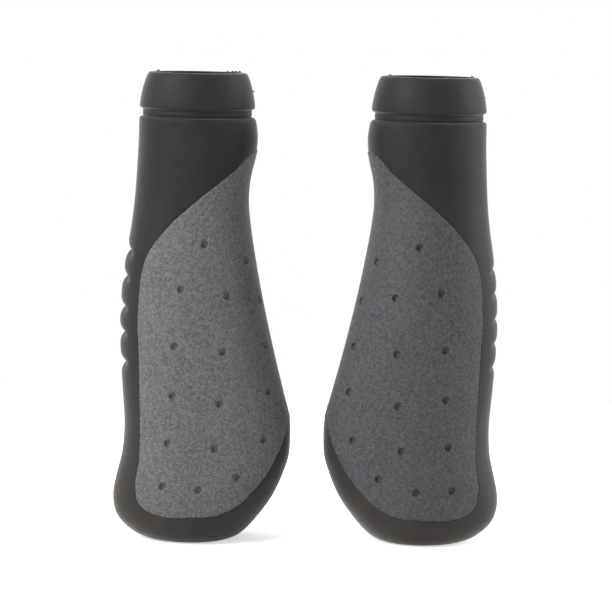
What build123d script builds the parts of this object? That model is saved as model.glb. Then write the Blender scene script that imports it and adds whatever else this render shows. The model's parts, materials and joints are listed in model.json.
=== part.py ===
from build123d import *
import os
from math import cos, radians, sin, sqrt, tan
from typing import NamedTuple

# A pair of slip-on bicycle handlebar grips: hard core sleeve, rubber body, palm pad.
# Each grip stands on its closed outer end with its bore along Z, mouth up. The left grip's palm wing
# points to +X and its finger side to -X, and the right grip is its mirror image. -Y is the padded face.
# All sizes are in millimetres.

# Overall
length = 130.0              # closed outer end to the mouth
wing_gap = 8.7              # between the two palm wings as the pair stands

# Core sleeve
bar_diameter = 22.2         # the handlebar that the sleeve slides on
bar_clearance = 0.05        # radial, bar to sleeve
sleeve_wall = 1.0
sleeve_end = 1.6            # the sleeve's closed end, which stops the bar
end_wall = 5.0              # rubber below the sleeve's closed end
mouth_recess = 0.8          # the sleeve's rim below the rubber lip
rib_count = 4               # places round the sleeve, of which the palm one is the web
rib_width = 1.6
rib_height = 0.6
rib_foot = 3.4              # from the top of the bore floor up to the ribs
rib_gap = 6.0               # from the top of the ribs up to the flange
flange_height = 4.0         # ring near the mouth that keys the sleeve into the collar
flange_width = 0.9
flange_drop = 8.0           # from the mouth to the top of that ring
web_thickness = 2.4         # plate that stiffens the palm wing
web_cover = 5.0             # rubber beyond the web's edge
key_hole_radius = 2.2       # holes that lock the rubber through the web
key_hole_land = 1.5         # web left between the sleeve and a hole

# Collar and the ring groove below it
collar_height = 12.4        # top of the shaped grip to the mouth
groove_height = 2.4
groove_wall = 2.75          # rubber over the sleeve in the groove
collar_wall = 3.75          # rubber over the sleeve at the collar's widest
mouth_wall = 1.55           # rubber over the sleeve at the mouth
collar_bulge = 0.35         # of the collar's side beyond a straight cone
lip = 0.5                   # edge rounding

# Finger grooves
ridge_count = 5
ridge_depth = 1.1           # at the widest line of the finger side
ridge_opening = 64.0        # half angle of the V, in degrees
ridge_reach = 8.85          # beyond the sleeve's radius, the radius of the ring that a groove follows
ridge_forward = 3.5         # that ring is centred this far in front of the bore
ridge_low = 49.0            # the lowest groove, on the shaped grip as drawn
ridge_pitch = 7.5
ridge_fan = 7.5             # each groove tilts this much more than the one below, in degrees

# Palm pad
pad_thickness = 1.3         # below the rubber's surface
pad_proud = 0.25            # above the rubber's surface
dimple_radius = 1.15
dimple_depth = 0.85

# Derived sizes
bore_radius = bar_diameter / 2 + bar_clearance
sleeve_radius = bore_radius + sleeve_wall
bore_floor = end_wall + sleeve_end
sleeve_top = length - mouth_recess
flange_bottom = length - flange_drop - flange_height
shoulder_height = length - collar_height
groove_radius = sleeve_radius + groove_wall
collar_radius = sleeve_radius + collar_wall
mouth_radius = sleeve_radius + mouth_wall
ridge_ring = sleeve_radius + ridge_reach
far = 3 * collar_radius     # clear of everything
on_floor = (Align.CENTER, Align.CENTER, Align.MIN)


def up(height):
    """A height on the shaped grip as drawn for a 117.6 mm shoulder, moved in step with the length."""
    return height * shoulder_height / 117.6


class Station(NamedTuple):
    """How far the grip's surface lies beyond the sleeve at one height, on its four sides."""

    height: float
    finger: float
    palm: float
    front: float
    back: float


stations = [
    Station(0.0, -1.1, -2.5, -3.5, -3.5),
    Station(0.8, 1.9, 0.3, -1.3, -1.3),
    Station(3.0, 5.8, 3.3, 0.9, 0.9),
    Station(7.0, 9.1, 6.8, 2.5, 2.5),
    Station(12.0, 9.9, 10.4, 3.1, 3.1),
    Station(18.0, 8.8, 13.1, 3.4, 3.3),
    Station(25.0, 7.2, 15.1, 3.5, 3.4),
    Station(32.0, 6.8, 15.2, 3.6, 3.5),
    Station(40.0, 7.3, 13.2, 3.7, 3.7),
    Station(50.0, 8.0, 10.6, 3.8, 3.9),
    Station(60.0, 8.4, 8.2, 3.9, 4.0),
    Station(70.0, 8.0, 6.0, 3.8, 4.0),
    Station(80.0, 6.8, 4.1, 3.6, 3.9),
    Station(88.0, 5.5, 2.8, 3.2, 3.7),
    Station(95.0, 4.7, 2.1, 2.8, 3.4),
    Station(101.0, 4.3, 2.5, 3.0, 3.4),
    Station(107.0, 4.0, 4.0, 3.5, 3.6),
    Station(112.0, 3.8, 4.7, 3.7, 3.7),
    Station(117.6, collar_wall, 3.9, collar_wall, collar_wall),
]
ridge_heights = [up(ridge_low + ridge_pitch * index) for index in range(ridge_count)]
key_hole_heights = [up(height) for height in (18, 26, 34, 42)]

wing_reach = sleeve_radius + max(station.palm for station in stations) + pad_proud
grip_spacing = 2 * wing_reach + wing_gap


def quarter_points(reach_x, reach_y, start):
    """Four points of a quarter ellipse, from the axis at `start` degrees to just before the next."""
    points = []
    for step in range(4):
        angle = radians(start + 22.5 * step)
        points.append((reach_x * cos(angle), reach_y * sin(angle)))
    return points


def section(station, offset):
    """The closed outline of the grip at one height, grown by `offset`."""
    finger, palm, front, back = (sleeve_radius + beyond + offset for beyond in station[1:])
    points = quarter_points(palm, back, 0)
    points += quarter_points(finger, back, 90)
    points += quarter_points(finger, front, 180)
    points += quarter_points(palm, front, 270)
    return Pos(0, 0, up(station.height)) * make_face(Spline(*points, periodic=True))


def skin(offset):
    """The shaped grip as a solid, from the foot to the shoulder, grown by `offset` sideways."""
    return loft([section(station, offset) for station in stations])


def surface_hit(solid, start, direction):
    """Where a line from `start` leaves the solid, as a point and the outward normal there."""
    hits = solid.find_intersection_points(Axis(start, direction))
    return max(hits, key=lambda hit: (hit[0] - Vector(start)).dot(Vector(direction)))


def collar():
    """Groove and collar above the shoulder, turned round the bore axis, rooted in the grip."""
    root = shoulder_height - groove_height
    groove_top = shoulder_height + groove_height
    side_middle = (collar_radius + mouth_radius + lip) / 2 + collar_bulge
    with BuildSketch(Plane.XZ) as profile:
        with BuildLine():
            Polyline((0, root), (groove_radius, root), (groove_radius, groove_top - lip),
                     (collar_radius - lip, groove_top))
            RadiusArc((collar_radius - lip, groove_top), (collar_radius, groove_top + lip), -lip)
            ThreePointArc((collar_radius, groove_top + lip),
                          (side_middle, (groove_top + length) / 2),
                          (mouth_radius + lip, length - lip))
            RadiusArc((mouth_radius + lip, length - lip), (mouth_radius, length), -lip)
            Polyline((mouth_radius, length), (0, length), (0, root))
        make_face()
    return revolve(profile.sketch, Axis.Z)


def ridge_cutter(shape, index):
    """A V-shaped ring that cuts one finger groove, tilted so that the grooves fan out to the back."""
    height = ridge_heights[index]
    reach = -surface_hit(shape, (0, 0, height), (-1, 0, 0))[0].X
    depth = 3 * ridge_depth
    half_width = depth * tan(radians(ridge_opening))
    profile = Plane.XZ * make_face(Polyline(
        (-ridge_ring, 0),
        (-ridge_ring - depth, half_width),
        (-ridge_ring - depth, -half_width),
        (-ridge_ring, 0)))
    centre_x = sqrt(ridge_ring**2 - ridge_forward**2) - (reach - ridge_depth)
    tilt = Pos(0, 0, height) * Rot(index * ridge_fan, 0, 0)
    return tilt * Pos(centre_x, -ridge_forward, 0) * revolve(profile, Axis.Z)


def palm_web():
    """The plate that the sleeve carries into the palm wing, following the wing's edge inside."""
    edge = [(sleeve_radius + station.palm - web_cover, up(station.height)) for station in stations
            if up(station.height) > end_wall + web_cover and station.palm > web_cover + 0.5]
    root = sleeve_radius - sleeve_wall / 2
    lowest, highest = edge[0][1], edge[-1][1]
    outline = make_face([
        Spline(*edge),
        Polyline(edge[-1], (root, highest + web_cover), (root, lowest - web_cover / 2), edge[0])])
    plate = extrude(Plane.XZ * outline, web_thickness / 2, both=True)
    hole = Rot(90, 0, 0) * Cylinder(key_hole_radius, 2 * web_thickness)
    for height in key_hole_heights:
        plate -= Pos(sleeve_radius + key_hole_land + key_hole_radius, 0, height) * hole
    return plate


def core_sleeve():
    """Hard sleeve for the bar, closed at the outer end, with ribs, a mouth flange and the palm web."""
    sleeve = Pos(0, 0, end_wall) * Cylinder(sleeve_radius, sleeve_top - end_wall, align=on_floor)
    sleeve += Pos(0, 0, flange_bottom) * Cylinder(
        sleeve_radius + flange_width, flange_height, align=on_floor)
    rib_start = bore_floor + rib_foot
    rib = Pos(sleeve_radius - sleeve_wall / 2, 0, rib_start) * Box(
        sleeve_wall / 2 + rib_height, rib_width, flange_bottom - rib_gap - rib_start,
        align=(Align.MIN, Align.CENTER, Align.MIN))
    for index in range(1, rib_count):
        sleeve += Rot(0, 0, index * 360 / rib_count) * rib
    sleeve += palm_web()
    return sleeve - Pos(0, 0, bore_floor) * Cylinder(bore_radius, length, align=on_floor)


def pad_region():
    """Everything inside the pad's edge: its outline seen from the front, closed round the palm side."""
    neck_to_finger = [(17.5, 109.0), (10.1, 102.8), (0.4, 95.1), (-8.1, 87.0), (-13.0, 79.2),
                      (-15.0, 67.0), (-14.6, 52.0), (-13.7, 36.0), (-13.5, 23.0)]
    finger_to_wing = [(-13.5, 23.0), (-14.4, 16.0), (-12.8, 11.1), (-8.4, 9.1), (0.4, 8.7),
                      (11.7, 9.8), (20.3, 16.9), (25.2, 25.2), (28.2, 35.0)]
    wing_to_neck = [(28.2, 35.0), (far, 35.0), (far, 109.0), (17.5, 109.0)]
    neck_to_finger, finger_to_wing, wing_to_neck = (
        [(x, up(z)) for x, z in edge] for edge in (neck_to_finger, finger_to_wing, wing_to_neck))
    front_outline = make_face([
        Spline(*neck_to_finger), Spline(*finger_to_wing), Polyline(*wing_to_neck)])
    foot, middle, top = up(20.0), up(66.0), up(112.0)
    side_outline = make_face([
        ThreePointArc((-3.0, foot), (9.0, middle), (-3.0, top)),
        Polyline((-3.0, top), (-far, top), (-far, 0), (-3.0, 0), (-3.0, foot))])
    finger_back = Box(far, far, length, align=(Align.MAX, Align.MIN, Align.MIN))
    return (extrude(Plane.XZ * front_outline, far, both=True)
            & extrude(Plane.YZ * side_outline, far, both=True)) - finger_back


def pad_blank():
    """The pad before its dimples: a shell of the grip's own surface, a little proud of the rubber."""
    return (skin(pad_proud) - skin(-pad_thickness)) & pad_region()


dimple_places = [
    (2.7, 83.8), (14.1, 79.1),
    (-3.5, 71.4), (8.9, 69.8), (18.0, 67.9),
    (-5.0, 55.8), (8.1, 54.4), (19.8, 55.4),
    (-5.4, 42.1), (7.5, 40.1), (20.9, 42.9),
    (-6.5, 28.9), (6.3, 27.7), (19.7, 29.8),
    (-7.8, 16.8), (2.0, 16.2), (12.4, 19.5),
]


def palm_pad(blank):
    """Textured insert with its blind dimples, each sunk along the surface's own normal."""
    outer = skin(pad_proud)
    pad = blank
    for x, height in dimple_places:
        point, normal = surface_hit(outer, (x, 0, up(height)), (0, -1, 0))
        pad -= Pos(*(point + normal * (dimple_radius - dimple_depth))) * Sphere(dimple_radius)
    return pad


def rubber_body(blank, sleeve):
    """Soft moulding: the shaped grip with its collar and finger grooves, round the pad and sleeve."""
    shape = skin(0)
    body = shape + collar()
    for index in range(ridge_count):
        body -= ridge_cutter(shape, index)
    bore = Pos(0, 0, bore_floor) * Cylinder(sleeve_radius, length, align=on_floor)
    return body - blank - sleeve - bore


def main():
    os.makedirs("parts", exist_ok=True)
    sleeve = core_sleeve()
    blank = pad_blank()
    pieces = {
        "core_sleeve": sleeve,
        "rubber_body": rubber_body(blank, sleeve),
        "palm_pad": palm_pad(blank),
    }
    for name, piece in pieces.items():
        left = Pos(-grip_spacing / 2, 0, 0) * piece
        export_step(left, f"parts/left_{name}.step")
        export_step(mirror(left, about=Plane.YZ), f"parts/right_{name}.step")


main()
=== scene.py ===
import json
from math import cos, radians, sin, sqrt, tan

import bmesh
import bpy
from mathutils import Matrix, Vector

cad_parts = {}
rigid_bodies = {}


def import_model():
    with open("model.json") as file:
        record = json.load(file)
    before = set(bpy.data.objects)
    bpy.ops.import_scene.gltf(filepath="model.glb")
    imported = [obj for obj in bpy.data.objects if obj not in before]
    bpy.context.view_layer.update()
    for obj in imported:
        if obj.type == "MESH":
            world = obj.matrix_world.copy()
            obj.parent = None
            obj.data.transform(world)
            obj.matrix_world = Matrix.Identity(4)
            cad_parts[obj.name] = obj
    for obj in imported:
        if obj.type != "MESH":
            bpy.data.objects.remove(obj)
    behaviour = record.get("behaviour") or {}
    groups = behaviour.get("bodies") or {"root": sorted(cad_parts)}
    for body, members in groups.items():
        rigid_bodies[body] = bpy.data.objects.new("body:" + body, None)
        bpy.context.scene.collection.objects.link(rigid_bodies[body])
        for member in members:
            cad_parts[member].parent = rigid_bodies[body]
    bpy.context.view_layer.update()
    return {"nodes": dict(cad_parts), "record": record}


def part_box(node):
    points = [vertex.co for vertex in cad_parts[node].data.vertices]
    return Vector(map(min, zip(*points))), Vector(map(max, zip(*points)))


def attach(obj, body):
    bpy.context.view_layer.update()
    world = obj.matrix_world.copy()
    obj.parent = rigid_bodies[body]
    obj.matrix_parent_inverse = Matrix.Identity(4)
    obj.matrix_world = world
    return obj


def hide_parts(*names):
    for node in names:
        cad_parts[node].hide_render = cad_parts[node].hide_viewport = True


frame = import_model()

mm = 0.001

# Where the left grip stands and how wide its bore is come from the part's own mounts
mounts = {mount["name"]: mount for mount in frame["record"]["mounts"]}
leftAxisX = mounts["left_bar_bore"]["pos_m"][0]
sleeveWall = 1.0                                       # mm
sleeveRadius = mounts["left_bar_bore"]["dims"]["r_mm"] + sleeveWall
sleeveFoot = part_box("left_core_sleeve")[0].z / mm
print("frame loaded, grip axis at x", round(leftAxisX, 5))


def objectMode():
    if bpy.context.object and bpy.context.object.mode != "OBJECT":
        bpy.ops.object.mode_set(mode="OBJECT")


def deselectAll():
    objectMode()
    bpy.ops.object.select_all(action="DESELECT")


def makeActive(piece):
    deselectAll()
    piece.select_set(True)
    bpy.context.view_layer.objects.active = piece


def editPiece(piece):
    makeActive(piece)
    bpy.ops.object.mode_set(mode="EDIT")
    bpy.ops.mesh.select_mode(type="VERT")


def applyModifier(piece, kind, **settings):
    makeActive(piece)
    modifier = piece.modifiers.new(kind.title(), kind)
    for key, value in settings.items():
        setattr(modifier, key, value)
    bpy.ops.object.modifier_apply(modifier=modifier.name)


def putInOrder(piece):
    # a cut can leave corners, edges and faces in another order each run, so they are sorted by place
    mesh = bmesh.new()
    mesh.from_mesh(piece.data)
    for number, vertex in enumerate(sorted(mesh.verts, key=lambda vertex: tuple(vertex.co))):
        vertex.index = number
    mesh.verts.sort()
    for parts in (mesh.edges, mesh.faces):
        inOrder = sorted(parts, key=lambda part: sorted(vertex.index for vertex in part.verts))
        for number, part in enumerate(inOrder):
            part.index = number
        parts.sort()
    mesh.to_mesh(piece.data)
    mesh.free()


def cutWith(piece, cutter, operation="DIFFERENCE"):
    applyModifier(piece, "BOOLEAN", object=cutter, operation=operation, solver="EXACT")
    bpy.data.objects.remove(cutter)
    putInOrder(piece)


def copyPiece(piece, name):
    copy = piece.copy()
    copy.data = piece.data.copy()
    copy.name = copy.data.name = name
    bpy.context.scene.collection.objects.link(copy)
    return copy


def cleanNormals(piece, merge=1e-6):
    editPiece(piece)
    bpy.ops.mesh.select_all(action="SELECT")
    bpy.ops.mesh.remove_doubles(threshold=merge)
    bpy.ops.mesh.normals_make_consistent(inside=False)
    objectMode()


# One grip's form, in mm: how far its skin lies past the sleeve's radius at each height, on four sides
gripForm = {
    "corners": 48,                                      # round one ring
    "grow": 0.1,                                        # makes up for what subdivision rounds off
    "subdivisions": 2,
    "heights": (0, 0.8, 3, 7, 12, 18, 25, 32, 40, 50, 60, 70, 80, 88, 95, 101, 107, 112, 117.6),
    "finger": (-1.1, 1.9, 5.8, 9.1, 9.9, 8.8, 7.2, 6.8, 7.3, 8.0,
               8.4, 8.0, 6.8, 5.5, 4.7, 4.3, 4.0, 3.8, 3.75),
    "palm": (-2.5, 0.3, 3.3, 6.8, 10.4, 13.1, 15.1, 15.2, 13.2, 10.6,
             8.2, 6.0, 4.1, 2.8, 2.1, 2.5, 4.0, 4.7, 3.9),
    "front": (-3.5, -1.3, 0.9, 2.5, 3.1, 3.4, 3.5, 3.6, 3.7, 3.8,
              3.9, 3.8, 3.6, 3.2, 2.8, 3.0, 3.5, 3.7, 3.75),
    "back": (-3.5, -1.3, 0.9, 2.5, 3.1, 3.3, 3.4, 3.5, 3.7, 3.9,
             4.0, 4.0, 3.9, 3.7, 3.4, 3.4, 3.6, 3.7, 3.75),
    "footRings": (0, 0.25, 0.8, 1.7, 3, 4.8, 7, 9.5, 12),
    "ringStep": 3.0,                                    # above the rounded foot
    "topGap": 3.2,                                      # at most, from the last of these to the top ring
    "fingerBand": (42, 88),                             # heights with closer rings, for the grooves
}
sides = ("finger", "palm", "front", "back")


def blendAt(height, heights, values):
    # a smooth curve through the values that never overshoots them
    def slope(i):
        if i == 0:
            return (values[1] - values[0]) / (heights[1] - heights[0])
        if i == len(heights) - 1:
            return (values[-1] - values[-2]) / (heights[-1] - heights[-2])
        before = (values[i] - values[i - 1]) / (heights[i] - heights[i - 1])
        after = (values[i + 1] - values[i]) / (heights[i + 1] - heights[i])
        if before * after <= 0:
            return 0.0
        spanBefore = 2 * (heights[i + 1] - heights[i]) + (heights[i] - heights[i - 1])
        spanAfter = (heights[i + 1] - heights[i]) + 2 * (heights[i] - heights[i - 1])
        return (spanBefore + spanAfter) / (spanBefore / before + spanAfter / after)
    low = max(i for i in range(len(heights) - 1) if heights[i] <= height or i == 0)
    span = heights[low + 1] - heights[low]
    t = (height - heights[low]) / span
    return ((2 * t**3 - 3 * t**2 + 1) * values[low] + (t**3 - 2 * t**2 + t) * span * slope(low)
            + (3 * t**2 - 2 * t**3) * values[low + 1] + (t**3 - t**2) * span * slope(low + 1))


def reachAt(height, offset):
    reach = sleeveRadius + gripForm["grow"] + offset
    return [reach + blendAt(height, gripForm["heights"], gripForm[side]) for side in sides]


def formHeights(top, fingerStep):
    heights = list(gripForm["footRings"])
    low, high = gripForm["fingerBand"]
    while heights[-1] < top - gripForm["topGap"]:
        step = fingerStep if low < heights[-1] < high else gripForm["ringStep"]
        heights.append(heights[-1] + step)
    return heights + [top]


# A form is extruded ring by ring from a circle at its foot, and a ring's four sides are sized one by one
def ringVertices():
    mesh = bmesh.from_edit_mesh(bpy.context.object.data)
    return mesh, [vertex for vertex in mesh.verts if vertex.select]


def resizeHalf(mesh, ring, axis, side, factor, height):
    if abs(factor - 1) < 1e-5:
        return
    for vertex in ring:
        vertex.select_set(vertex.co[axis] * side > 1e-7)
    mesh.select_flush_mode()
    value = [1, 1, 1]
    value[axis] = factor
    bpy.ops.transform.resize(value=value, center_override=(0, 0, height * mm))


def shapeRing(now, new, height):
    mesh, ring = ringVertices()
    for index, (axis, side) in enumerate(((0, -1), (0, 1), (1, -1), (1, 1))):
        resizeHalf(mesh, ring, axis, side, new[index] / now[index], height)
    for vertex in ring:
        vertex.select_set(True)
    mesh.select_flush(True)
    return new


def addRings(name, rings, corners=gripForm["corners"]):
    deselectAll()
    startRadius = 10
    bpy.ops.mesh.primitive_circle_add(vertices=corners, radius=startRadius * mm,
                                      location=(0, 0, rings[0][0] * mm))
    piece = bpy.context.object
    bpy.ops.object.transform_apply(location=True)
    piece.name = piece.data.name = name
    editPiece(piece)
    bpy.ops.mesh.select_all(action="SELECT")
    bpy.ops.mesh.edge_face_add()
    now = shapeRing([startRadius] * 4, rings[0][1], rings[0][0])
    previous = rings[0][0]
    bpy.ops.mesh.select_mode(type="EDGE")
    for height, reach in rings[1:]:
        bpy.ops.mesh.extrude_edges_move(TRANSFORM_OT_translate={"value": (0, 0, (height - previous) * mm)})
        bpy.ops.mesh.select_mode(type="VERT")
        now = shapeRing(now, reach, height)
        bpy.ops.mesh.select_mode(type="EDGE")
        previous = height
    bpy.ops.mesh.edge_face_add()
    bpy.ops.mesh.select_all(action="SELECT")
    bpy.ops.mesh.normals_make_consistent(inside=False)
    objectMode()
    return piece


def formRings(top, offset, fingerStep):
    return [(height, reachAt(height, offset)) for height in formHeights(top, fingerStep)]


def subdivide(piece):
    levels = gripForm["subdivisions"]
    applyModifier(piece, "SUBSURF", levels=levels, render_levels=levels)


# The rubber body. Its rings beyond the grip's form are (height, radius) of ring groove, collar and mouth
rubberGrip = {
    "formTop": 117.0,                                   # the collar's own rings start above this
    "fingerStep": 1.0,                                  # ring to ring where the grooves are
    "collarRings": (
        (117.3, 15.9), (117.45, 15.84), (117.58, 15.62), (117.68, 15.25), (117.78, 14.97), (117.92, 14.9),
        (118.1, 14.97), (118.35, 15.05), (118.9, 15.06), (119.3, 14.98), (119.6, 14.98), (119.82, 15.16),
        (120.0, 15.48), (120.15, 15.74), (120.35, 15.88), (120.7, 15.92),
        (121.3, 15.88), (122.6, 15.7), (124.2, 15.4),
        (125.8, 15.03), (127.3, 14.58), (128.5, 14.16), (129.3, 13.78), (129.72, 13.45), (129.86, 13.05),
        (129.88, 12.6), (129.82, 12.3), (129.6, 12.17), (129.0, 12.15), (128.95, 11.65), (128.0, 11.65)),
    "boreHeights": (90, 50),                            # rings on the way down the bore
    "boreFloor": (1.2, 0.5),                            # and the last two, above the sleeve's foot
    "leftGrooves": (49.5, 57.9, 65.1, 73.7, 81.0),      # heights of the finger grooves
    "rightGrooves": (49.6, 56.3, 63.2, 70.5, 77.3),
    "leftDepth": 1.6,
    "rightDepth": 0.75,
    "boreWall": 2.0,                                    # the bore stays plain this far past the sleeve
    "grooveFan": 2.5,                                   # degrees each groove tilts more than the last
    "leastStrength": 0.002,                             # of a groove, below which the skin stays
    "grooveBand": (40, 100),                            # heights beyond which nothing is pressed
    "grooveSide": (2.0, 9.0),                           # where a groove fades in, from the axis outwards
    "grooveFront": (-8.0, -3.0),                        # where a groove fades in, front to back
    "grooveBack": (9.0, 15.0),                          # and where it fades out
    # torn moulding flash: (angle round the axis, height, rise)
    "leftFlash": ((148, 129.85, 0.35), (51, 129.85, 0.2), (43, 129.85, 0.3), (37, 129.85, 0.35),
                  (29, 129.85, 0.4), (-4, 125.0, 0.3), (170, 123.6, 0.15)),
    "rightFlash": ((36, 129.85, 0.25), (158, 129.85, 0.3), (184, 124.4, 0.15)),
    "flashWidth": 0.36,
    "flashSteps": (0.6, 0.4),                           # each nub is drawn out in two steps
    "flashTaper": 0.85,                                 # at each step
    "flashLean": 0.2,                                   # sideways, for each mm of rise
    "rimHeight": 128.5,                                 # flash above this stands up, below it stands out
    "weld": 0.02,                                       # corners closer than this become one
    "smoothAngle": 38.0,                                # degrees
}


def easeBetween(value, low, high):
    t = min(1, max(0, (value - low) / (high - low)))
    return t * t * (3 - 2 * t)


def grooveStrength(place, grooves):
    # how far the finger grooves press in here, from 0 to 1: flat lobes that meet in a narrow line
    x, y, height = (value / mm for value in place)
    low, high = rubberGrip["grooveBand"]
    innermost = sleeveRadius + rubberGrip["boreWall"]
    if -x < rubberGrip["grooveSide"][0] or not low < height < high or sqrt(x * x + y * y) < innermost:
        return 0.0
    half = (grooves[-1] - grooves[0]) / (len(grooves) - 1) / 2
    deepest = 0.0
    for index, groove in enumerate(grooves):
        lean = radians(index * rubberGrip["grooveFan"])
        near = 1 - abs(height - groove - y * tan(lean)) * cos(lean) / half
        if near > 0:
            deepest = max(deepest, near**3)
    fade = (easeBetween(y, *rubberGrip["grooveFront"]) * (1 - easeBetween(y, *rubberGrip["grooveBack"]))
            * easeBetween(-x, *rubberGrip["grooveSide"]))
    return deepest * fade


def pressGrooves(piece, grooves, depth):
    group = piece.vertex_groups.new(name="fingerGrooves")
    for vertex in piece.data.vertices:
        strength = grooveStrength(vertex.co, grooves)
        if strength > rubberGrip["leastStrength"]:
            group.add([vertex.index], strength, "REPLACE")
    applyModifier(piece, "DISPLACE", strength=-depth * mm, mid_level=0,
                  direction="NORMAL", vertex_group=group.name)
    piece.vertex_groups.clear()


def addFlash(piece, places):
    # small nubs drawn out of the skin and narrowed at their tips
    radii = {height: radius for height, radius in rubberGrip["collarRings"]}
    for angle, height, rise in places:
        ring = min(radii, key=lambda ringHeight: abs(ringHeight - height))
        outward = Vector((cos(radians(angle)), sin(radians(angle)), 0))
        place = outward * radii[ring] * mm + Vector((0, 0, height * mm))
        lean = rubberGrip["flashLean"]
        out, up = (lean, 1.0) if height > rubberGrip["rimHeight"] else (1.0, lean)
        editPiece(piece)
        bpy.ops.mesh.select_mode(type="FACE")
        bpy.ops.mesh.select_all(action="DESELECT")
        mesh = bmesh.from_edit_mesh(piece.data)
        for face in mesh.faces:
            if (face.calc_center_median() - place).length < rubberGrip["flashWidth"] * mm:
                face.select_set(True)
        for share in rubberGrip["flashSteps"]:
            reach = (outward * out + Vector((0, 0, up))) * rise * share
            bpy.ops.mesh.extrude_region_move(TRANSFORM_OT_translate={"value": reach * mm})
            place += reach * mm
            bpy.ops.transform.resize(value=[rubberGrip["flashTaper"]] * 3, center_override=place)
        objectMode()


def makeRubberBody():
    rings = formRings(rubberGrip["formTop"], 0, rubberGrip["fingerStep"])
    rings += [(height, [radius] * 4) for height, radius in rubberGrip["collarRings"]]
    boreRadius = rubberGrip["collarRings"][-1][1]
    boreHeights = list(rubberGrip["boreHeights"])
    boreHeights += [sleeveFoot + above for above in rubberGrip["boreFloor"]]
    rings += [(height, [boreRadius] * 4) for height in boreHeights]
    body = addRings("rubberForm", rings)
    subdivide(body)
    return body


# The palm pad: the grip's skin, cut to its outline, then given a wall
palmPad = {
    "formTop": 113,                                     # above the outline's highest corner
    "fingerStep": 2.0,
    "proud": 0.25,                                      # of the rubber's skin
    "thickness": 1.5,
    "clearance": 0.06,                                  # pocket to pad
    "pocketAbove": 0.5,                                 # how far the pocket's cutter stands out of the skin
    "outlineSteps": 16,                                 # from one corner of an outline to the next
    "neckToFinger": ((17.5, 109.0), (10.1, 102.8), (0.4, 95.1), (-8.1, 87.0), (-13.2, 79.2),
                     (-15.1, 67.0), (-14.8, 52.0), (-14.3, 36.0), (-14.4, 23.0)),
    "fingerToWing": ((-15.3, 16.0), (-13.9, 11.2), (-9.2, 8.9), (-0.4, 8.6),
                     (9.9, 10.1), (18.4, 17.0), (23.4, 24.8), (26.4, 31.8), (28.8, 38.0)),
    "beyondWing": ((60.0, 38.0), (60.0, 109.0)),
    "sideArc": ((-3.0, 20.0), (5.6, 40.0), (9.0, 66.0), (5.6, 92.0), (-3.0, 112.0)),
    "sideBeyond": ((-60.0, 112.0), (-60.0, -5.0), (-3.0, -5.0)),
    "dimples": (
        (2.7, 83.8), (14.1, 79.1), (-3.5, 71.4), (8.9, 69.8), (18.0, 67.9), (-5.0, 55.8), (8.1, 54.4),
        (19.8, 55.4), (-5.4, 42.1), (7.5, 40.1), (20.9, 42.9), (-6.5, 28.9), (6.3, 27.7), (19.7, 29.8),
        (-7.8, 16.8), (2.0, 16.2), (12.4, 19.5)),
    "aimFrom": 50,                                      # in front of the axis, where dimples are aimed from
    "dimpleCorners": 32,
    # one dimple's profile, from its floor out past the skin: (height, radius)
    "dimpleRings": (
        (-0.92, 0.3), (-0.9, 0.6), (-0.8, 0.84), (-0.6, 0.98), (-0.34, 1.04), (-0.15, 1.1), (-0.05, 1.2),
        (0.0, 1.34), (0.05, 1.54), (0.8, 1.74)),
    # the rounded rim: (out past the cut edge, dropped)
    "rimRows": ((0.12, 0.03), (0.22, 0.1), (0.3, 0.24)),
    "ragged": 0.1,                                      # how far the moulded edge wanders
    "raggedEvenness": 0.3,
    "raggedSeed": 5,
    "reach": 60,                                        # of the outline's prisms, clear through the grip
    "edgeWeld": 0.17,                                   # corners this close on the cut skin become one
    "shortEdge": 0.1,                                   # and edges shorter than this go
    "cornerAngle": 110,                                 # degrees: sharper corners of it aren't relaxed
    "edgePasses": 4,
    "edgeRows": 3,                                      # rows beside the edge that are evened out with it
    "rowPasses": 10,
    "refillAfter": (1, 3, 5, 7),                        # passes after which the triangles are laid anew
    "wallEase": 5,                                      # passes
    "weld": 0.02,                                       # corners closer than this become one
    "smoothAngle": 40.0,                                # degrees
}


def addOutlinePrism(name, corners, smoothCount, place, reach):
    # a closed curve through the corners, made a mesh and extruded right through the grip
    deselectAll()
    bpy.ops.curve.primitive_bezier_circle_add(location=(0, 0, 0))
    curve = bpy.context.object
    curve.data.resolution_u = palmPad["outlineSteps"]
    spline = curve.data.splines[0]
    spline.bezier_points.add(len(corners) - len(spline.bezier_points))
    for index, (point, corner) in enumerate(zip(spline.bezier_points, corners)):
        point.co = Vector(place(*corner)) * mm
        kind = "AUTO" if index < smoothCount else "VECTOR"
        point.handle_left_type = point.handle_right_type = kind
    bpy.ops.object.convert(target="MESH")
    prism = bpy.context.object
    prism.name = prism.data.name = name
    editPiece(prism)
    bpy.ops.mesh.select_all(action="SELECT")
    bpy.ops.mesh.remove_doubles(threshold=1e-6)
    bpy.ops.mesh.edge_face_add()
    bpy.ops.transform.translate(value=[-value * mm for value in reach])
    bpy.ops.mesh.extrude_region_move(TRANSFORM_OT_translate={"value": [2 * value * mm for value in reach]})
    bpy.ops.mesh.select_all(action="SELECT")
    bpy.ops.mesh.normals_make_consistent(inside=False)
    objectMode()
    return prism


def markFaces(piece, index):
    # slot 0 marks the grip's own skin and slot 1 a cut face
    for name in ("skinFace", "cutFace"):
        piece.data.materials.append(bpy.data.materials.get(name) or bpy.data.materials.new(name))
    for face in piece.data.polygons:
        face.material_index = index


def selectBoundary(piece):
    bpy.ops.mesh.select_mode(type="EDGE")
    bpy.ops.mesh.select_all(action="DESELECT")
    mesh = bmesh.from_edit_mesh(piece.data)
    for edge in mesh.edges:
        edge.select_set(edge.is_boundary)


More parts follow.
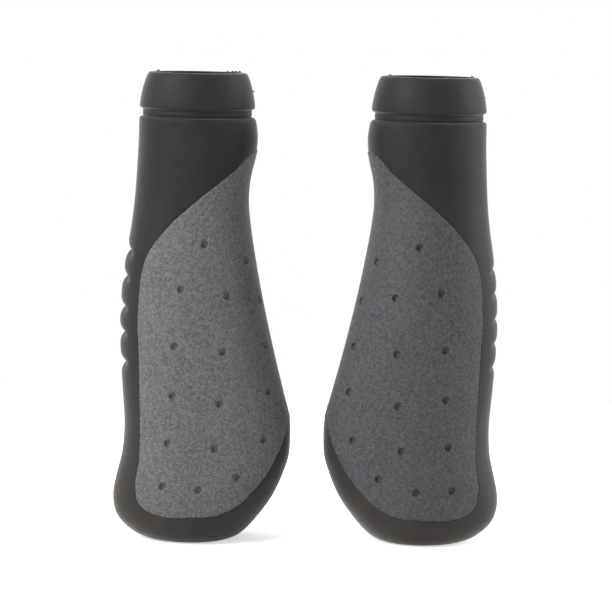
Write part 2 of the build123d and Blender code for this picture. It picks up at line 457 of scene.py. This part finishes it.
def evenOutEdge(sheet):
    # the cut left slivers and small steps, so the edge is relaxed along itself and the rows beside it too;
    # everything is taken in the mesh's own order, so that each run gives the same pad
    mesh = bmesh.from_edit_mesh(sheet.data)
    bmesh.ops.dissolve_degenerate(mesh, dist=palmPad["shortEdge"] * mm, edges=mesh.edges)
    edge = [vertex for vertex in mesh.verts if vertex.is_boundary]
    corner = radians(palmPad["cornerAngle"])
    for step in range(palmPad["edgePasses"]):
        moved = {}
        for vertex in edge:
            beside = [link.other_vert(vertex).co for link in vertex.link_edges if link.is_boundary]
            if len(beside) == 2 and (beside[0] - vertex.co).angle(beside[1] - vertex.co) > corner:
                moved[vertex] = vertex.co.lerp((beside[0] + beside[1]) / 2, 0.5)
        for vertex, place in moved.items():
            vertex.co = place
    rows = set(edge)
    for step in range(palmPad["edgeRows"]):
        rows |= {link.other_vert(vertex) for vertex in rows for link in vertex.link_edges}
    inside = [vertex for vertex in mesh.verts if vertex in rows and not vertex.is_boundary]

    def facesInRows():
        return [face for face in mesh.faces if any(vertex in rows for vertex in face.verts)]

    cut = bmesh.ops.triangulate(mesh, faces=facesInRows(), quad_method="BEAUTY", ngon_method="BEAUTY")
    triangles = cut["faces"]
    for step in range(palmPad["rowPasses"]):
        bmesh.ops.smooth_vert(mesh, verts=inside, factor=0.5,
                              use_axis_x=True, use_axis_y=True, use_axis_z=True)
        if step in palmPad["refillAfter"]:
            known = set(triangles)
            inner = [link for link in mesh.edges
                     if not link.is_boundary and any(face in known for face in link.link_faces)]
            bmesh.ops.beautify_fill(mesh, faces=triangles, edges=inner, method="ANGLE")
            triangles = [face for face in facesInRows() if len(face.verts) == 3]
    bmesh.update_edit_mesh(sheet.data)


def makePadSheet():
    sheet = addRings("padSheet", formRings(palmPad["formTop"], palmPad["proud"], palmPad["fingerStep"]))
    subdivide(sheet)
    markFaces(sheet, 0)
    front, reach = palmPad["neckToFinger"] + palmPad["fingerToWing"], palmPad["reach"]
    frontPrism = addOutlinePrism("frontOutline", front + palmPad["beyondWing"], len(front),
                                 lambda x, z: (x, 0, z), (0, reach, 0))
    sidePrism = addOutlinePrism("sideOutline", palmPad["sideArc"] + palmPad["sideBeyond"],
                                len(palmPad["sideArc"]), lambda y, z: (0, y, z), (reach, 0, 0))
    for prism in (frontPrism, sidePrism):
        markFaces(prism, 1)
        cutWith(sheet, prism, "INTERSECT")
    # only the skin stays, and the finger side's back half isn't covered
    editPiece(sheet)
    mesh = bmesh.from_edit_mesh(sheet.data)
    bpy.ops.mesh.select_mode(type="FACE")
    bpy.ops.mesh.select_all(action="DESELECT")
    for face in mesh.faces:
        centre = face.calc_center_median()
        if face.material_index == 1 or (centre.x < 0 < centre.y):
            face.select_set(True)
    bpy.ops.mesh.delete(type="FACE")
    bpy.ops.mesh.select_mode(type="VERT")
    bpy.ops.mesh.select_all(action="SELECT")
    bpy.ops.mesh.remove_doubles(threshold=palmPad["edgeWeld"] * mm)
    evenOutEdge(sheet)
    selectBoundary(sheet)
    bpy.ops.transform.vertex_random(offset=palmPad["ragged"] * mm, uniform=palmPad["raggedEvenness"],
                                    seed=palmPad["raggedSeed"])
    objectMode()
    sheet.data.materials.clear()
    return sheet


def widenEdge(sheet, out):
    # one more row past the cut edge, level with the skin
    editPiece(sheet)
    mesh = bmesh.from_edit_mesh(sheet.data)
    outward = {}
    for vertex in [vertex for vertex in mesh.verts if vertex.is_boundary]:
        sideways = Vector()
        for link in vertex.link_edges:
            if link.is_boundary:
                loop = link.link_loops[0]
                sideways += (loop.link_loop_next.vert.co - loop.vert.co).cross(vertex.normal).normalized()
        outward[tuple(vertex.co)] = sideways.normalized() * out * mm
    selectBoundary(sheet)
    bpy.ops.mesh.extrude_edges_move(TRANSFORM_OT_translate={"value": (0, 0, 0)})
    mesh = bmesh.from_edit_mesh(sheet.data)
    for vertex in [vertex for vertex in mesh.verts if vertex.select]:
        vertex.co += outward[tuple(vertex.co)]
    bmesh.update_edit_mesh(sheet.data)
    objectMode()


def thicken(sheet, thickness):
    # the hidden inner wall is eased, so that it can't fold over itself at tight corners
    count = len(sheet.data.vertices)
    applyModifier(sheet, "SOLIDIFY", thickness=thickness * mm, offset=-1, use_even_offset=False)
    editPiece(sheet)
    bpy.ops.mesh.select_all(action="DESELECT")
    mesh = bmesh.from_edit_mesh(sheet.data)
    for vertex in mesh.verts:
        vertex.select_set(vertex.index >= count)
    bpy.ops.mesh.vertices_smooth(factor=0.5, repeat=palmPad["wallEase"])
    objectMode()


def makePad(sheet):
    # the wall goes on while the rim rows are level, and then its outer rows drop to round the rim
    pad = copyPiece(sheet, "leftPalmPad")
    drops = {}
    previous = 0
    for out, drop in palmPad["rimRows"]:
        known = len(pad.data.vertices)
        widenEdge(pad, out - previous)
        previous = out
        for vertex in pad.data.vertices[known:]:
            drops[vertex.index] = vertex.normal * -drop * mm
    thicken(pad, palmPad["thickness"])
    for index, drop in drops.items():
        pad.data.vertices[index].co += drop
    return pad


def cutPocket(body, sheet):
    pocket = copyPiece(sheet, "padPocket")
    widenEdge(pocket, palmPad["rimRows"][-1][0] + palmPad["clearance"])
    above = palmPad["pocketAbove"]
    applyModifier(pocket, "DISPLACE", strength=above * mm, mid_level=0, direction="NORMAL")
    thicken(pocket, palmPad["thickness"] + palmPad["clearance"] + above)
    cutWith(body, pocket)


def cutDimples(pad):
    # one plug, turned to face out of the skin at each place
    rings = [(height, [radius] * 4) for height, radius in palmPad["dimpleRings"]]
    plug = addRings("dimplePlug", rings, palmPad["dimpleCorners"])
    plugs = []
    for x, height in palmPad["dimples"]:
        inFront = Vector((x * mm, -palmPad["aimFrom"] * mm, height * mm))
        hit, place, normal, face = pad.ray_cast(inFront, Vector((0, 1, 0)))
        copy = copyPiece(plug, "dimplePlug")
        copy.data.transform(Matrix.Translation(place) @ normal.to_track_quat("Z", "Y").to_matrix().to_4x4())
        plugs.append(copy)
    deselectAll()
    for copy in plugs:
        copy.select_set(True)
    bpy.context.view_layer.objects.active = plugs[0]
    bpy.ops.object.join()
    bpy.data.objects.remove(plug)
    cutWith(pad, plugs[0])


def shadeSmooth(piece, angle):
    makeActive(piece)
    bpy.ops.object.shade_smooth_by_angle(angle=radians(angle))


def cutForSleeve(body):
    sleeve = copyPiece(frame["nodes"]["left_core_sleeve"], "sleeveCutter")
    sleeve.parent = None
    for key in list(sleeve.keys()):
        del sleeve[key]
    sleeve.data.transform(Matrix.Translation((-leftAxisX, 0, 0)))
    cleanNormals(sleeve)
    cutWith(body, sleeve)


def placeAtAxis(piece):
    editPiece(piece)
    bpy.ops.mesh.select_all(action="SELECT")
    bpy.ops.transform.translate(value=(leftAxisX, 0, 0))
    objectMode()


def mirrorPiece(piece):
    editPiece(piece)
    bpy.ops.mesh.select_all(action="SELECT")
    bpy.ops.transform.resize(value=(-1, 1, 1), center_override=(0, 0, 0))
    bpy.ops.mesh.normals_make_consistent(inside=False)
    objectMode()


def splitManySided(piece):
    # the many-sided faces that the cuts leave become well-shaped triangles
    editPiece(piece)
    bpy.ops.mesh.select_mode(type="FACE")
    bpy.ops.mesh.select_all(action="DESELECT")
    bpy.ops.mesh.select_face_by_sides(number=4, type="GREATER")
    bpy.ops.mesh.quads_convert_to_tris(quad_method="BEAUTY", ngon_method="BEAUTY")
    objectMode()


def dropCrumbs(piece):
    # the cuts can leave loose crumbs: only what hangs together with the lowest corner stays
    editPiece(piece)
    bpy.ops.mesh.select_all(action="DESELECT")
    mesh = bmesh.from_edit_mesh(piece.data)
    min(mesh.verts, key=lambda vertex: vertex.co.z).select_set(True)
    bpy.ops.mesh.select_linked()
    bpy.ops.mesh.select_all(action="INVERT")
    bpy.ops.mesh.delete(type="VERT")
    objectMode()


rubberForm = makeRubberBody()
print("rubber form", len(rubberForm.data.polygons), "faces")
padSheet = makePadSheet()
leftPad = makePad(padSheet)
print("pad skin", len(leftPad.data.polygons), "faces")
cutDimples(leftPad)
cutPocket(rubberForm, padSheet)
cutForSleeve(rubberForm)
bpy.data.objects.remove(padSheet)
rubberPieces = []
for side in ("left", "right"):
    piece = copyPiece(rubberForm, side + "RubberBody")
    pressGrooves(piece, rubberGrip[side + "Grooves"], rubberGrip[side + "Depth"])
    addFlash(piece, rubberGrip[side + "Flash"])
    rubberPieces.append(piece)
bpy.data.objects.remove(rubberForm)
leftBody, rightBody = rubberPieces
rightPad = copyPiece(leftPad, "rightPalmPad")
for piece, made in ((leftBody, rubberGrip), (rightBody, rubberGrip),
                    (leftPad, palmPad), (rightPad, palmPad)):
    dropCrumbs(piece)
    cleanNormals(piece, made["weld"] * mm)
    splitManySided(piece)
    placeAtAxis(piece)
    if piece in (rightBody, rightPad):
        mirrorPiece(piece)
    shadeSmooth(piece, made["smoothAngle"])
print("pieces shaped,", len(leftBody.data.polygons), "and", len(leftPad.data.polygons), "faces")


# Shader maths: a Wire is one socket, and sums on it add Math nodes
class Wire:
    def __init__(self, graph, socket):
        self.graph, self.socket = graph, socket

    def math(self, operation, *values):
        return self.graph.add("ShaderNodeMath", {"operation": operation}, dict(enumerate(values)))

    def __add__(self, other):
        return self.math("ADD", self, other)

    def __sub__(self, other):
        return self.math("SUBTRACT", self, other)

    def __rsub__(self, other):
        return self.math("SUBTRACT", other, self)

    def __mul__(self, other):
        return self.math("MULTIPLY", self, other)

    __radd__ = __add__
    __rmul__ = __mul__

    def between(self, low, high):
        # 0 at low, 1 at high, eased in between
        return self.graph.add("ShaderNodeMapRange", {"interpolation_type": "SMOOTHSTEP"},
                              {"Value": self, "From Min": low, "From Max": high})


class Graph:
    # the nodes of one material or of the world
    def __init__(self, owner):
        owner.use_nodes = True
        self.tree = owner.node_tree
        self.tree.nodes.clear()

    def add(self, kind, settings=None, values=None, output=0):
        node = self.tree.nodes.new(kind)
        for key, value in (settings or {}).items():
            setattr(node, key, value)
        for key, value in (values or {}).items():
            if isinstance(value, Wire):
                self.tree.links.new(value.socket, node.inputs[key])
            else:
                node.inputs[key].default_value = value
        return Wire(self, node.outputs[output] if len(node.outputs) else None)

    def mixColour(self, factor, first, second):
        return self.add("ShaderNodeMix", {"data_type": "RGBA"}, {0: factor, 6: first, 7: second}, 2)

    def noise(self, place, size, detail=2.0, rough=0.5):
        # size is the length in mm of one blotch
        return self.add("ShaderNodeTexNoise", None,
                        {"Vector": place, "Scale": 1 / (size * mm), "Detail": detail, "Roughness": rough})


def srgb(red, green, blue):
    def linear(value):
        value /= 255
        return value / 12.92 if value <= 0.04045 else ((value + 0.055) / 1.055)**2.4
    return (linear(red), linear(green), linear(blue), 1)


rubberFinish = {
    "colour": srgb(32, 29, 33),
    "pale": srgb(43, 40, 43),                           # handled and dusty places
    "foot": srgb(50, 47, 44),                           # painted warm bounce light from the floor, towards the foot
    "footHeights": (0.0, 0.05),                         # m
    "footPatchy": 0.4,                                  # how far the clouds break up the painted bounce light at the foot
    "cloudSize": 9,                                     # mm, as the sizes below
    "cloudShare": 0.35,                                 # of the pale colour
    "scuffSize": 1.6,
    "scuffShare": 0.2,
    "grainSize": 0.45,
    "speck": srgb(110, 106, 102),
    "speckSpacing": 3.2,
    "speckRadius": (0.025, 0.05),                       # of the spacing, full inside and gone outside
    "speckRare": (0.78, 0.8),                           # most places on the grid have none
    "speckShare": 0.6,
    "roughness": 0.55,
    "roughGrain": 0.25,
    "roughCloud": 0.05,
    "specular": 0.15,
    "sheen": 0.4,
    "sheenRoughness": 0.35,
    "sheenTint": srgb(255, 250, 240),
    "bump": 0.35,
    "bumpScuff": 0.4,                                   # the scuffs' share beside the grain's
    "bumpDepth": 0.06,
}


def makeRubber(name, look):
    material = bpy.data.materials.new(name)
    graph = Graph(material)
    place = graph.add("ShaderNodeTexCoord", output="Object")
    cloud = graph.noise(place, look["cloudSize"], 3).between(0.35, 0.7)
    grain = graph.noise(place, look["grainSize"], 3, 0.6)
    scuff = graph.noise(place, look["scuffSize"], 4, 0.65).between(0.5, 0.72)
    specks = {"Vector": place, "Scale": 1 / (look["speckSpacing"] * mm)}
    nearSpeck = graph.add("ShaderNodeTexVoronoi", {"feature": "F1"}, specks)
    speckPick = graph.add("ShaderNodeTexVoronoi", {"feature": "F1"}, specks, "Color")
    rare = graph.add("ShaderNodeSeparateColor", None, {0: speckPick})
    speck = (1 - nearSpeck.between(*look["speckRadius"])) * rare.between(*look["speckRare"])
    pale = cloud * look["cloudShare"] + scuff * look["scuffShare"]
    colour = graph.mixColour(pale, look["colour"], look["pale"])
    # painted warm bounce light from the floor: lighter and warmer towards the foot, broken up in patches by
    # the clouds
    height = graph.add("ShaderNodeSeparateXYZ", None, {0: place}, "Z")
    bouncePatches = (1 - look["footPatchy"]) + cloud * look["footPatchy"]
    foot = (1 - height.between(*look["footHeights"])) * bouncePatches
    colour = graph.mixColour(foot, colour, look["foot"])
    colour = graph.mixColour(speck * look["speckShare"], colour, look["speck"])
    bump = graph.add("ShaderNodeBump", None, {
        "Strength": look["bump"], "Distance": look["bumpDepth"] * mm,
        "Height": grain + scuff * look["bumpScuff"]})
    rough = look["roughness"] + (grain - 0.5) * look["roughGrain"] + cloud * look["roughCloud"]
    shader = graph.add("ShaderNodeBsdfPrincipled", None, {
        "Base Color": colour, "Roughness": rough, "Normal": bump,
        "Specular IOR Level": look["specular"], "Sheen Weight": look["sheen"],
        "Sheen Roughness": look["sheenRoughness"], "Sheen Tint": look["sheenTint"]})
    graph.add("ShaderNodeOutputMaterial", None, {"Surface": shader})
    return material


padFinish = {
    "light": {"colour": srgb(103, 104, 105), "crease": srgb(66, 67, 68), "warm": srgb(107, 106, 101)},
    "dark": {"colour": srgb(78, 78, 81), "crease": srgb(50, 50, 53), "warm": srgb(80, 80, 78)},
    "cellSize": 0.8,                                    # mm across one leather cell
    "wormSize": 0.62,                                   # mm, the finer winding grain over it
    "mottleSize": 1.3,                                  # mm, light and dark in the grain
    "fineSize": 0.3,                                    # mm, the smallest grain
    "patchSize": 14,                                    # mm, warmer patches
    "patchShare": 0.15,
    "swaySize": 1.2,                                    # mm, of the bends that wander the grain
    "swayReach": 0.8,                                   # mm
    "inColour": {"worm": 0.6, "hump": 0.25, "mottle": 0.3},
    "inHeight": {"worm": 0.55, "hump": 0.25, "mottle": 0.25, "fine": 0.25},
    "bump": 0.8,
    "bumpDepth": 0.11,                                  # mm
    "roughness": 0.66,
    "roughFine": 0.2,
    "roughHump": 0.06,                                  # the tops are rubbed this much smoother
    "specular": 0.2,
    "sheen": 0.25,
    "sheenRoughness": 0.3,
}


def makePadRubber(name, look):
    material = bpy.data.materials.new(name)
    graph = Graph(material)
    place = graph.add("ShaderNodeTexCoord", output="Object")
    sway = graph.add("ShaderNodeTexNoise", None,
                     {"Vector": place, "Scale": 1 / (padFinish["swaySize"] * mm), "Detail": 2.0}, "Color")
    swayed = graph.add("ShaderNodeVectorMath", {"operation": "MULTIPLY_ADD"},
                       {0: sway, 1: [padFinish["swayReach"] * mm] * 3, 2: place})
    cells = graph.add("ShaderNodeTexVoronoi", {"feature": "DISTANCE_TO_EDGE"},
                      {"Vector": swayed, "Scale": 1 / (padFinish["cellSize"] * mm)})
    hump = cells.between(0.0, 0.32)
    patch = graph.noise(place, padFinish["patchSize"], 3).between(0.3, 0.75)
    fine = graph.noise(place, padFinish["fineSize"], 3, 0.6)
    worm = graph.noise(swayed, padFinish["wormSize"], 1.5).between(0.34, 0.66)
    mottle = graph.noise(place, padFinish["mottleSize"]).between(0.3, 0.7)
    share = padFinish["inColour"]
    bright = worm * share["worm"] + hump * share["hump"] + mottle * share["mottle"]
    colour = graph.mixColour(bright, look["crease"], look["colour"])
    colour = graph.mixColour(patch * padFinish["patchShare"], colour, look["warm"])
    share = padFinish["inHeight"]
    height = (worm * share["worm"] + hump * share["hump"] + mottle * share["mottle"]
              + fine * share["fine"])
    bump = graph.add("ShaderNodeBump", None, {
        "Strength": padFinish["bump"], "Distance": padFinish["bumpDepth"] * mm, "Height": height})
    rough = padFinish["roughness"] + (fine - 0.5) * padFinish["roughFine"] - hump * padFinish["roughHump"]
    shader = graph.add("ShaderNodeBsdfPrincipled", None, {
        "Base Color": colour, "Roughness": rough, "Normal": bump,
        "Specular IOR Level": padFinish["specular"], "Sheen Weight": padFinish["sheen"],
        "Sheen Roughness": padFinish["sheenRoughness"]})
    graph.add("ShaderNodeOutputMaterial", None, {"Surface": shader})
    return material


# Hard black plastic, with fine turning marks round the bore
sleeveFinish = {
    "colour": srgb(44, 44, 46),
    "haze": srgb(60, 60, 62),
    "hazeSize": 5,                                      # mm
    "marks": (60, 60, 2500),                            # per m, so they run round the axis
    "roughness": 0.42,
    "roughMarks": 0.15,
    "bump": 0.2,
    "bumpDepth": 0.03,                                  # mm
}


def makeCorePlastic(name, look):
    material = bpy.data.materials.new(name)
    graph = Graph(material)
    place = graph.add("ShaderNodeTexCoord", output="Object")
    lines = graph.add("ShaderNodeMapping", None, {"Vector": place, "Scale": look["marks"]})
    marks = graph.add("ShaderNodeTexNoise", None, {"Vector": lines, "Scale": 1.0, "Detail": 2.0})
    haze = graph.noise(place, look["hazeSize"], 3).between(0.3, 0.75)
    colour = graph.mixColour(haze, look["colour"], look["haze"])
    bump = graph.add("ShaderNodeBump", None, {
        "Strength": look["bump"], "Distance": look["bumpDepth"] * mm, "Height": marks})
    rough = look["roughness"] + marks * look["roughMarks"]
    shader = graph.add("ShaderNodeBsdfPrincipled", None, {
        "Base Color": colour, "Roughness": rough, "Normal": bump})
    graph.add("ShaderNodeOutputMaterial", None, {"Surface": shader})
    return material


def dress(piece, material):
    piece.data.materials.clear()
    piece.data.materials.append(material)


blackRubber = makeRubber("blackRubber", rubberFinish)
dress(leftBody, blackRubber)
dress(rightBody, blackRubber)
dress(leftPad, makePadRubber("lightGreyPad", padFinish["light"]))
dress(rightPad, makePadRubber("darkGreyPad", padFinish["dark"]))
corePlastic = makeCorePlastic("corePlastic", sleeveFinish)
for nodeName in ("left_core_sleeve", "right_core_sleeve"):
    dress(frame["nodes"][nodeName], corePlastic)
for piece, body, slot, node in (
        (leftBody, "left_grip", "black_rubber", "left_rubber_body"),
        (leftPad, "left_grip", "light_grey_pad", "left_palm_pad"),
        (rightBody, "right_grip", "black_rubber", "right_rubber_body"),
        (rightPad, "right_grip", "dark_grey_pad", "right_palm_pad")):
    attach(piece, body)
    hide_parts(node)
print("materials on")

studio = {
    "worldLight": 0.4,                                  # on the object; the world is seen as plain white
    "floorHalf": 1.6,                                   # m
    "floorColour": (0.86, 0.86, 0.86, 1),
    "floorRoughness": 0.9,
    "floorSpecular": 0.1,
    "floorLift": 0.6,                                   # its own glow, to the camera and in reflections
    "fade": (0.13, 0.3),                                # m from the middle, where it turns plain white
    "white": (1, 1, 1, 1),
    # name: (place, aimed at, width, height, watts)
    "softboxes": {
        "keySoftbox": ((-0.94, -0.55, 0.78), (0, 0, 0.06), 0.7, 0.7, 21.0),
        "sideSoftbox": ((1.0, 0.05, 0.38), (0, 0, 0.07), 0.35, 0.7, 9.0),
        "topSoftbox": ((0.0, 0.3, 1.1), (0, 0, 0.06), 0.9, 0.6, 4.0),
    },
}


def addFloor():
    deselectAll()
    bpy.ops.mesh.primitive_plane_add(size=2 * studio["floorHalf"], location=(0, 0, 0))
    floor = bpy.context.object
    floor.name = "floor"
    material = bpy.data.materials.new("floorWhite")
    graph = Graph(material)
    place = graph.add("ShaderNodeTexCoord", output="Object")
    away = graph.add("ShaderNodeVectorMath", {"operation": "LENGTH"}, {0: place}, "Value")
    path = graph.add("ShaderNodeLightPath", output="Is Camera Ray")
    glossy = graph.add("ShaderNodeLightPath", output="Is Glossy Ray")
    seen = path.math("MAXIMUM", path, glossy)
    plain = graph.add("ShaderNodeBsdfPrincipled", None, {
        "Base Color": studio["floorColour"], "Roughness": studio["floorRoughness"],
        "Specular IOR Level": studio["floorSpecular"]})
    lift = graph.add("ShaderNodeEmission", None, {
        "Color": studio["white"], "Strength": seen * studio["floorLift"]})
    lit = graph.add("ShaderNodeAddShader", None, {0: plain, 1: lift})
    white = graph.add("ShaderNodeEmission", None, {"Color": studio["white"], "Strength": 1.0})
    faded = graph.add("ShaderNodeMixShader", None,
                      {0: seen * away.between(*studio["fade"]), 1: lit, 2: white})
    graph.add("ShaderNodeOutputMaterial", None, {"Surface": faded})
    dress(floor, material)


def lightWorld():
    world = bpy.data.worlds.new("softWhite")
    bpy.context.scene.world = world
    graph = Graph(world)
    path = graph.add("ShaderNodeLightPath", output="Is Camera Ray")
    glossy = graph.add("ShaderNodeLightPath", output="Is Glossy Ray")
    through = graph.add("ShaderNodeLightPath", output="Is Transmission Ray")
    seen = path.math("MAXIMUM", path.math("MAXIMUM", path, glossy), through)
    strength = seen * (1 - studio["worldLight"]) + studio["worldLight"]
    background = graph.add("ShaderNodeBackground", None, {"Color": studio["white"], "Strength": strength})
    graph.add("ShaderNodeOutputWorld", None, {"Surface": background})


def addSoftboxes():
    for name, (place, target, width, height, watts) in studio["softboxes"].items():
        light = bpy.data.lights.new(name, "AREA")
        light.shape, light.size, light.size_y, light.energy = "RECTANGLE", width, height, watts
        softbox = bpy.data.objects.new(name, light)
        bpy.context.scene.collection.objects.link(softbox)
        softbox.location = place
        softbox.rotation_euler = (Vector(target) - Vector(place)).to_track_quat("-Z", "Y").to_euler()


view = {
    "distance": 0.7,                                    # m, level distance from the origin
    "azimuth": 2.0,                                     # degrees, towards -X
    "height": 0.148,                                    # m, as the next
    "aimHeight": 0.065,
    "roll": 1.18,                                       # degrees
    "lens": 149.04,                                     # mm, as the next
    "sensor": 36.0,
    "shift": (-0.0056, 0.0040),
    "clip": (0.01, 20),                                 # m
}


def addCamera():
    turn = radians(view["azimuth"])
    place = Vector((-view["distance"] * sin(turn), -view["distance"] * cos(turn), view["height"]))
    forward = (Vector((0, 0, view["aimHeight"])) - place).normalized()
    right = forward.cross(Vector((0, 0, 1))).normalized()
    up = right.cross(forward)
    basis = Matrix((right, up, -forward)).transposed()
    data = bpy.data.cameras.new("camera")
    data.lens, data.sensor_width = view["lens"], view["sensor"]
    data.shift_x, data.shift_y = view["shift"]
    data.clip_start, data.clip_end = view["clip"]
    camera = bpy.data.objects.new("camera", data)
    bpy.context.scene.collection.objects.link(camera)
    camera.matrix_world = (Matrix.Translation(place)
                           @ (basis @ Matrix.Rotation(radians(view["roll"]), 3, "Z")).to_4x4())
    bpy.context.scene.camera = camera


addFloor()
lightWorld()
addSoftboxes()
addCamera()
bpy.context.scene.view_settings.view_transform = "Standard"
print("floor, lights and camera in place")
